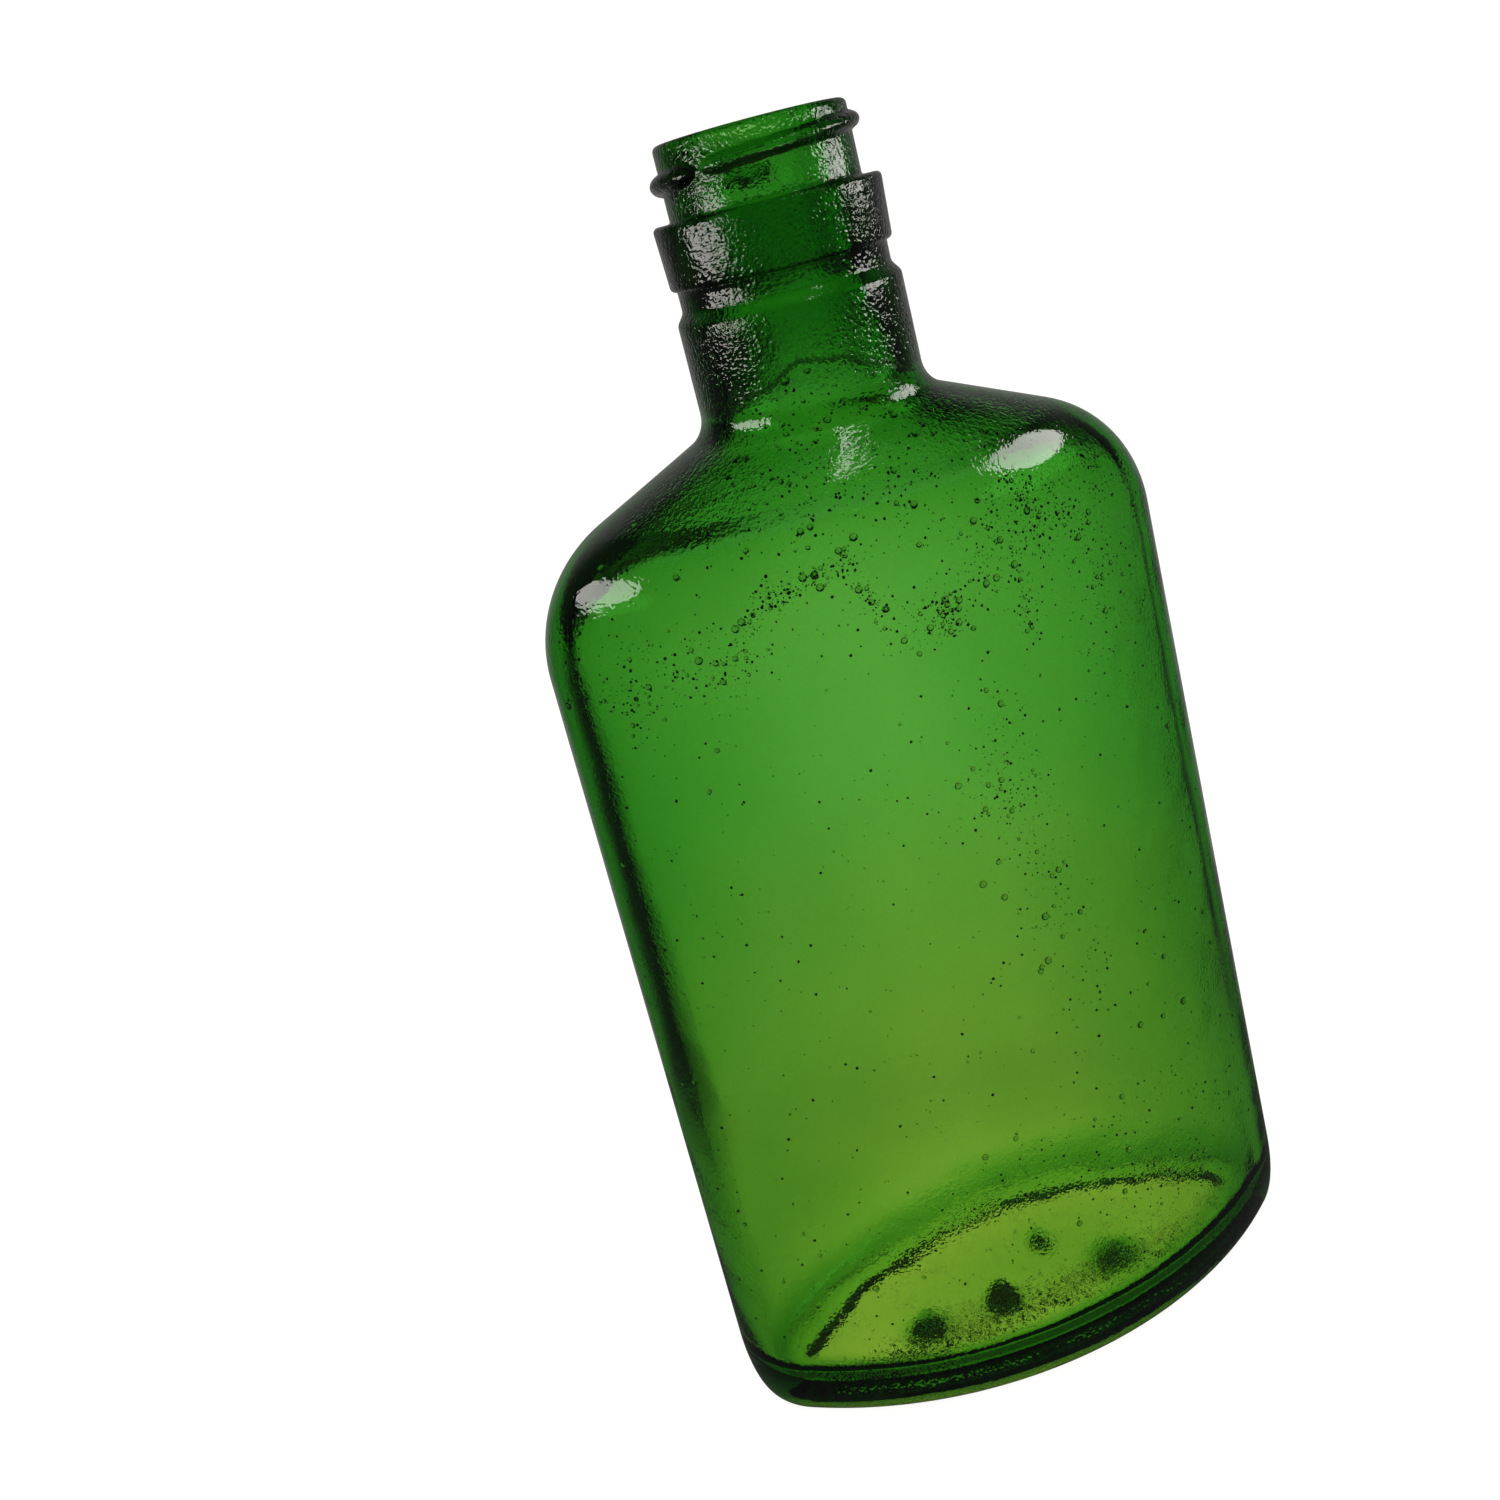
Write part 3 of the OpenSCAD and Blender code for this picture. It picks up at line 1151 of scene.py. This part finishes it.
@dataclass
class TideLine:
    """The brown line that a liquid's surface left round the neck."""

    flask: GlassFlask
    heights: tuple[tuple[float, float], ...]
    thick: float = 0.34
    seed: int = 5

    def build(self, finish: bpy.types.Material) -> bpy.types.Object:
        """Sweeps the line round the neck.

        Args:
            finish: The residue's finish.

        Returns:
            The piece.
        """
        steps = 90
        first, last = self.heights[0][0], self.heights[-1][0]
        points: list[Point] = []
        for k in range(steps + 1):
            a = first + (last - first) * k / steps
            z = self.height(a) + 0.25 * noise.noise(Vector((a * 0.09, self.seed, 0.0)))
            r = self.flask.bore(z) - 0.1
            points.append((r * math.cos(math.radians(a)), r * math.sin(math.radians(a)), z))
        made = make_object("tide_line", points, [])
        made.data.edges.add(steps)
        made.data.edges.foreach_set("vertices", [i for k in range(steps) for i in (k, k + 1)])
        tree, values = self.tree(finish)
        run_tree(made, tree, values)
        return made

    def height(self, angle: float) -> float:
        """Height of the line at an angle, on a smooth run between the stated heights.

        Args:
            angle: Angle round the neck, in degrees.

        Returns:
            The height.
        """
        for (a, za), (b, zb) in zip(self.heights, self.heights[1:]):
            if angle <= b:
                t = (angle - a) / (b - a)
                return za + (zb - za) * t * t * (3 - 2 * t)
        return self.heights[-1][1]

    def tree(self, finish: bpy.types.Material) -> tuple[bpy.types.NodeTree, dict[str, object]]:
        """Builds the tree that gives the line its thickness.

        Args:
            finish: The residue's finish.

        Returns:
            The tree, and its input values by identifier.
        """
        tree = geometry_tree("tide_line_sweep")
        values = {named_input(tree, "Thickness", "NodeSocketFloat", self.thick * MM): self.thick * MM}
        g = Graph(tree)
        start = g.node("NodeGroupInput").outputs
        line = g.node("GeometryNodeMeshToCurve", {0: start["Geometry"]}).outputs[0]
        place = g.node("GeometryNodeInputPosition").outputs[0]
        swell = g.node("ShaderNodeTexNoise", {"Vector": place, "Scale": 900.0}).outputs[0]
        radius = g.math("MULTIPLY_ADD", swell, 1.6, 0.1)
        varied = g.node("GeometryNodeSetCurveRadius", {0: line, "Radius": radius}).outputs[0]
        circle = {"Resolution": 8, "Radius": start["Thickness"]}
        section = g.node("GeometryNodeCurvePrimitiveCircle", circle).outputs[0]
        sweep = {"Curve": varied, "Profile Curve": section, "Fill Caps": True}
        g.dress(g.node("GeometryNodeCurveToMesh", sweep).outputs[0], finish, smooth=False)
        return tree, values


# ---------------------------------------------------------------------------------------------
# Studio
# ---------------------------------------------------------------------------------------------


@dataclass(frozen=True)
class Lamp:
    """A soft lamp, with its place, the place it faces and its size in millimetres."""

    name: str
    place: Point
    facing: Point
    width: float
    height: float
    radiance: float

    def build(self) -> None:
        """Makes the lamp."""
        data = bpy.data.lights.new(self.name, "AREA")
        data.shape = "ELLIPSE"
        data.size = self.width * MM
        data.size_y = self.height * MM
        data.energy = self.radiance * math.pi * math.pi / 4 * data.size * data.size_y
        data.color = (1.0, 0.98, 0.94)
        made = bpy.data.objects.new(self.name, data)
        bpy.context.scene.collection.objects.link(made)
        place, facing = Vector(self.place) * MM, Vector(self.facing) * MM
        turned = (place - facing).to_track_quat("Z", "Y").to_matrix().to_4x4()
        made.matrix_world = Matrix.Translation(place) @ turned
        made.visible_camera = False


LAMPS = (
    Lamp("left_lamp", (-88.0, -13.0, 155.0), (0.0, -13.0, 150.0), 72.0, 24.0, 6.0),
    Lamp("right_lamp", (132.0, -48.0, 167.0), (0.0, -48.0, 150.0), 98.0, 42.0, 6.0),
    Lamp("top_lamp", (53.0, -163.0, 333.0), (0.0, -17.0, 131.0), 90.0, 16.0, 6.0),
)


@dataclass(frozen=True)
class View:
    """The camera's lens, and its place and turns in metres and radians."""

    lens: float = 37.775
    shift: tuple[float, float] = (0.0312, -0.0963)
    place: Point = (-0.0671, -0.1942, 0.1622)
    turn: float = 0.232
    tip: float = 0.239
    roll: float = -0.257


@dataclass
class Studio:
    """A pale seamless floor, soft lights and the camera."""

    floor_half: float = 6.0
    across: float = 0.33
    back: float = 0.94

    def floor(self) -> None:
        """Makes the floor."""
        h = self.floor_half / MM
        floor = make_object("floor", [(-h, -h, 0), (h, -h, 0), (h, h, 0), (-h, h, 0)], [(0, 1, 2, 3)])
        mat, g = cleared("floor_paper")
        path = g.node("ShaderNodeLightPath").outputs
        through = path["Is Transmission Ray"]
        place = g.node("ShaderNodeNewGeometry").outputs["Position"]
        far_off = g.node("ShaderNodeVectorMath", {0: place}, operation="LENGTH").outputs["Value"]
        way = g.node("ShaderNodeVectorMath", {0: place}, operation="NORMALIZE").outputs[0]
        # Painted light: through the glass the floor shows a warm glow that grows stronger near the flask, a
        # painted pool of warm light under it; camera rays see the floor evenly bright.
        warm = g.blend(g.smooth(far_off, 0.04, 0.24), (0.85, 0.39, 0.13, 1.0), (0.44, 0.44, 0.18, 1.0))
        strength = g.math("MULTIPLY_ADD", through, g.smooth(far_off, 0.02, 0.05, 2.4, 1.2), 1.15)
        shown = {"Color": g.blend(through, (1.0, 0.99, 0.975, 1.0), warm), "Strength": strength}
        glow = g.node("ShaderNodeEmission", shown).outputs[0]
        paper = g.node("ShaderNodeBsdfDiffuse", {"Color": (0.9, 0.9, 0.9, 1.0)}).outputs[0]
        lit = g.node("ShaderNodeMixShader", {0: 0.8, 1: paper, 2: glow}).outputs[0]
        near = g.smooth(far_off, 0.06, 0.14, 1.0, 0.0)
        open_way = g.math("MAXIMUM", self.between_flags(g, way, 0.6, 0.95), near)
        level = self.seen_by(g, path, self.ahead(g, way, 0.22), open_way)
        # Painted shade: reflections see the floor near black, a little lighter towards the back, and rays
        # through the glass see it near black where it lies far out to the sides.
        dark = g.node("ShaderNodeBsdfDiffuse", {"Color": (0.02, 0.02, 0.02, 1.0)}).outputs[0]
        dimmed = g.node("ShaderNodeMixShader", {0: g.math("SUBTRACT", 1.0, level), 1: lit, 2: dark})
        g.node("ShaderNodeOutputMaterial", {"Surface": dimmed.outputs[0]})
        floor.data.materials.append(mat)

    def ahead(self, g: Graph, way: bpy.types.NodeSocket, most: float) -> bpy.types.NodeSocket:
        """Light level that grows from the front of the room to the back.

        Args:
            g: The graph.
            way: A direction.
            most: The level at the back.

        Returns:
            The level.
        """
        x, y, _ = g.split(way)
        depth = g.math("ADD", g.math("MULTIPLY", y, self.back), g.math("MULTIPLY", x, self.across))
        return g.smooth(depth, 0.45, 0.85, 0.04, most)

    def between_flags(
        self, g: Graph, way: bpy.types.NodeSocket, low: float, high: float
    ) -> bpy.types.NodeSocket:
        """Light level between two dark side screens, which give the glass its dark edges.

        Args:
            g: The graph.
            way: A direction.
            low: Share to the side at which a screen begins.
            high: Share at which it is dark.

        Returns:
            The level, 1 between the screens.
        """
        return g.smooth(g.math("ABSOLUTE", self.side(g, way)), low, high, 1.0, 0.02)

    def side(self, g: Graph, way: bpy.types.NodeSocket) -> bpy.types.NodeSocket:
        """How far a direction lies to the right of the way into the room.

        Args:
            g: The graph.
            way: A direction.

        Returns:
            Its share to the right.
        """
        x, y, _ = g.split(way)
        return g.math("SUBTRACT", g.math("MULTIPLY", x, self.back), g.math("MULTIPLY", y, self.across))

    def mirrored(self, g: Graph, path: bpy.types.bpy_prop_collection) -> bpy.types.NodeSocket:
        """Tells reflected rays from those that come straight or through glass.

        Args:
            g: The graph.
            path: The Light Path node's outputs.

        Returns:
            1 for a reflected ray, else 0.
        """
        return g.math("MULTIPLY", path["Is Glossy Ray"], g.math("SUBTRACT", 1.0, path["Is Transmission Ray"]))

    def seen_by(
        self,
        g: Graph,
        path: bpy.types.bpy_prop_collection,
        gloss: bpy.types.NodeSocket,
        through: bpy.types.NodeSocket,
    ) -> bpy.types.NodeSocket:
        """Light level for each kind of ray.

        Args:
            g: The graph.
            path: The Light Path node's outputs.
            gloss: Level that a reflection shows.
            through: Level that shows through glass.

        Returns:
            The level, 1 for rays that come straight.
        """
        shine = g.math("MULTIPLY", self.mirrored(g, path), g.math("SUBTRACT", 1.0, gloss))
        clear = g.math("MULTIPLY", path["Is Transmission Ray"], g.math("SUBTRACT", 1.0, through))
        return g.math("SUBTRACT", 1.0, g.math("MAXIMUM", shine, clear))

    def room(self) -> None:
        """Makes the bright room, which is darker high up and at the sides of what the glass shows."""
        world = bpy.data.worlds.new("studio_room")
        bpy.context.scene.world = world
        world.use_nodes = True
        tree = world.node_tree
        tree.nodes.clear()
        g = Graph(tree)
        way = g.node("ShaderNodeTexCoord").outputs["Generated"]
        path = g.node("ShaderNodeLightPath").outputs
        off = g.math("ABSOLUTE", g.math("SUBTRACT", self.side(g, way), 0.09))
        lift = g.math("MULTIPLY_ADD", off, 0.7, g.split(way)[2])
        under = g.smooth(lift, 0.18, 0.33, 1.0, 0.03)
        through = g.math("MULTIPLY", under, self.between_flags(g, way, 0.5, 0.8))
        level = self.seen_by(g, path, self.ahead(g, way, 0.2), through)
        tone = g.blend(path["Is Transmission Ray"], (1.0, 0.985, 0.965, 1.0), (1.15, 1.0, 0.85, 1.0))
        light = {"Color": tone, "Strength": g.math("MULTIPLY", level, 1.08)}
        g.node("ShaderNodeOutputWorld", {0: g.node("ShaderNodeBackground", light).outputs[0]})

    def lights(self) -> None:
        """Adds the soft lamps."""
        for lamp in LAMPS:
            lamp.build()

    def camera(self, view: View) -> None:
        """Sets the camera close to the mouth, looking down along the body and rolled.

        Args:
            view: Its lens and place.
        """
        lens = bpy.data.cameras.new("camera")
        lens.lens = view.lens
        lens.sensor_width = 36.0
        lens.shift_x, lens.shift_y = view.shift
        lens.clip_start = 0.01
        made = bpy.data.objects.new("camera", lens)
        bpy.context.scene.collection.objects.link(made)
        to_eye = Matrix(((1, 0, 0), (0, 0, -1), (0, 1, 0))) @ Matrix.Rotation(view.turn, 3, "Z")
        to_eye = Matrix.Rotation(view.roll, 3, "Z") @ Matrix.Rotation(view.tip, 3, "X") @ to_eye
        right, down, away = (Vector(row) for row in to_eye)
        matrix = Matrix((right, -down, -away)).transposed().to_4x4()
        matrix.translation = Vector(view.place)
        made.matrix_world = matrix
        bpy.context.scene.camera = made


def main() -> None:
    """Builds the flask and its studio, and reports each piece."""
    sizes = FlaskSizes()
    skin = pitted_group()
    flask = GlassFlask(sizes, WallSizes(), Finish(sizes))
    glass = flask.build(GreenGlass().build(skin))
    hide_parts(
        "lip", "cap_thread", "finish_wall", "collar", "neck_groove", "neck", "shoulder",
        "front_panel", "back_panel", "left_edge", "right_edge", "heel", "base",
    )
    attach(glass, "root")
    log.info("%s: %d faces", glass.name, len(glass.data.polygons))
    film = DriedFilm("dried_film", (0.5, 0.38, 0.12), (0.95, 0.8, 0.35), cover=0.5).build()
    grain = DriedFilm("sediment", (0.01, 0.016, 0.003), (0.09, 0.075, 0.02), 2500.0).build()
    drop = ClearDrop().build()
    dried = Deposit(
        "dried_drops", Patch.FRONT, DROP_CLUSTERS, background=0.02,
        smallest=0.08, largest=0.24, flatness=0.6, seed=11, share=4.2,
    )
    clear = Deposit(
        "clear_drops", Patch.FRONT, DROP_CLUSTERS, background=0.01,
        smallest=0.12, largest=0.55, flatness=0.7, seed=23, share=0.9, detail=2,
    )
    settled = Deposit(
        "sediment_grains", Patch.FLOOR, SEDIMENT, background=0.0,
        smallest=0.07, largest=0.22, flatness=0.7, seed=37, share=7.0,
    )
    pieces = [
        dried.build(glass, grain),
        clear.build(glass, drop),
        settled.build(glass, grain),
        TideLine(flask, TIDE_HEIGHTS).build(film),
    ]
    for piece in pieces:
        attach(piece, "root")
        log.info("%s: %d faces", piece.name, len(piece.data.polygons))
    studio = Studio()
    studio.floor()
    studio.room()
    studio.lights()
    studio.camera(View())
    bpy.context.scene.view_settings.view_transform = "Standard"


if __name__ == "__main__":
    main()
